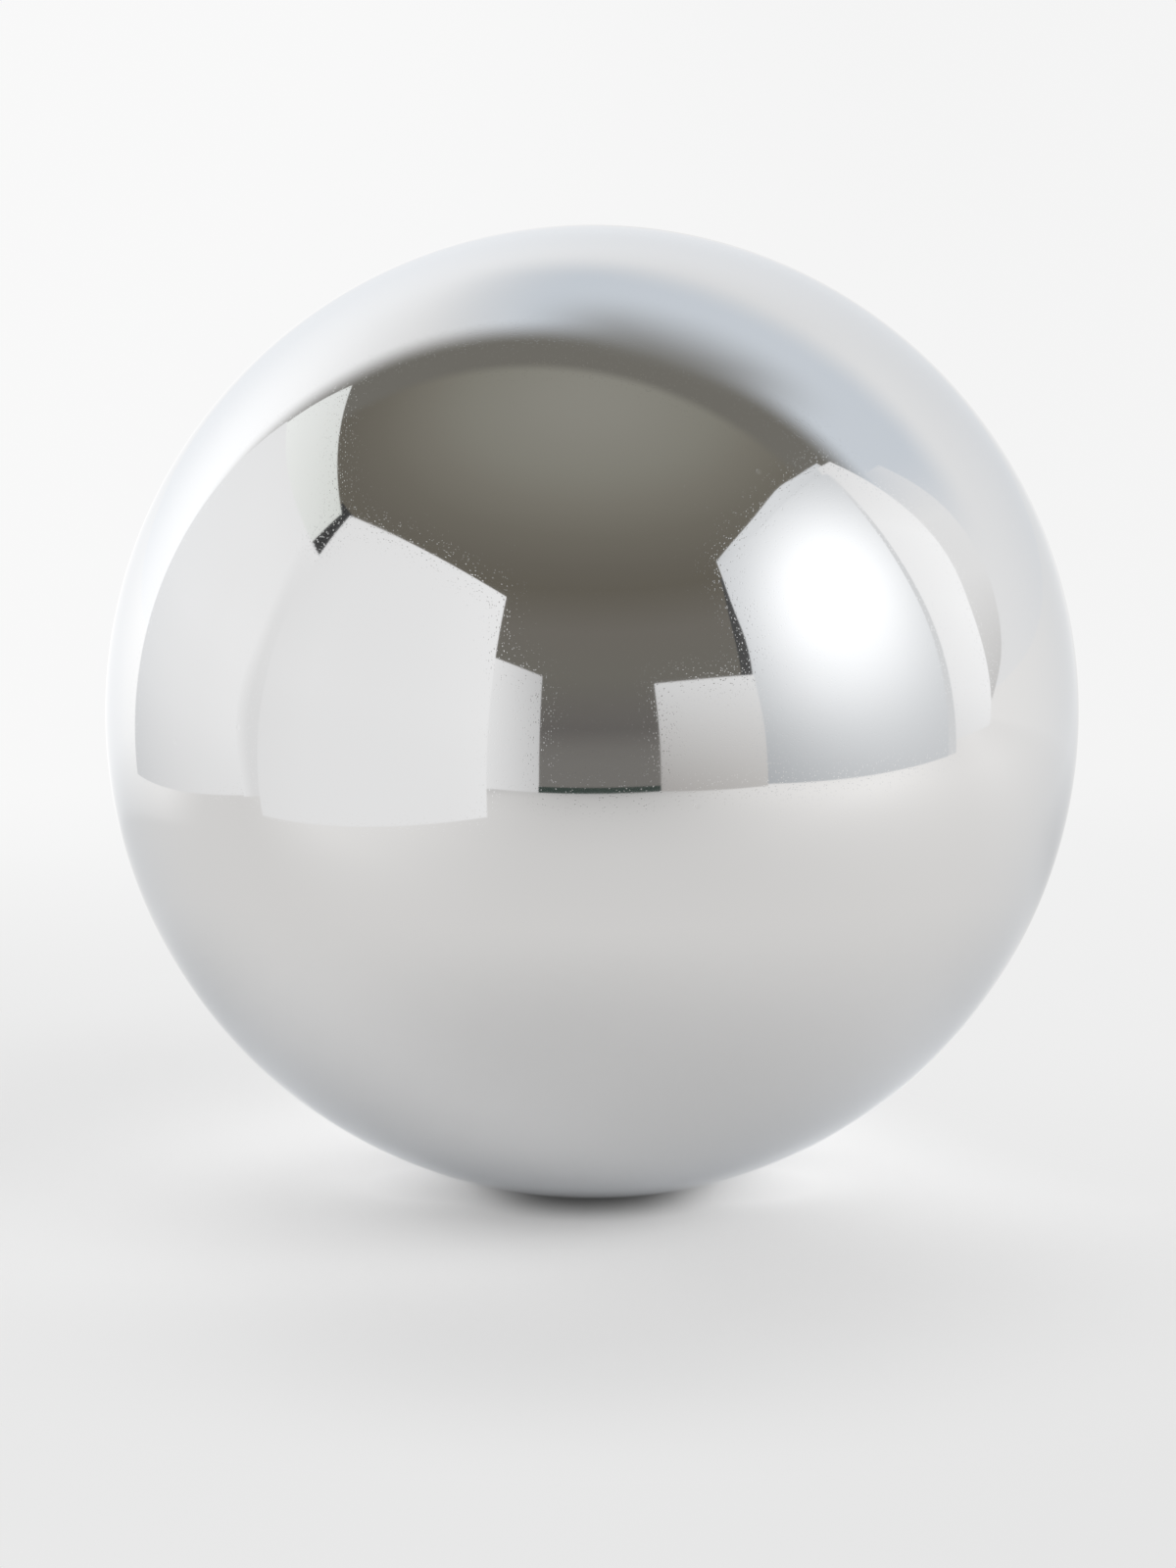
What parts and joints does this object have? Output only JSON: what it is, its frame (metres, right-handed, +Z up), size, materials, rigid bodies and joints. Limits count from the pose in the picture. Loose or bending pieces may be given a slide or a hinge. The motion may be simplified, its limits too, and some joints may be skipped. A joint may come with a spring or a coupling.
{
  "type": "steel ball",
  "caption": "Solid polished steel ball with a mirror finish, for bearings, valves, weights, sockets or gauging.",
  "frame": {"origin": "centre of the ball", "axes": "+Z up, -Y towards the viewer, +X to the viewer's right; the ball is the same in every direction, so the axes only fix which way up its seat is"},
  "size_m": [0.06, 0.06, 0.06],
  "materials": {
    "steel": "ground and lapped to a mirror polish, unplated"
  },
  "bodies": {
    "root": {"ball": "steel"}
  },
  "joints": []
}
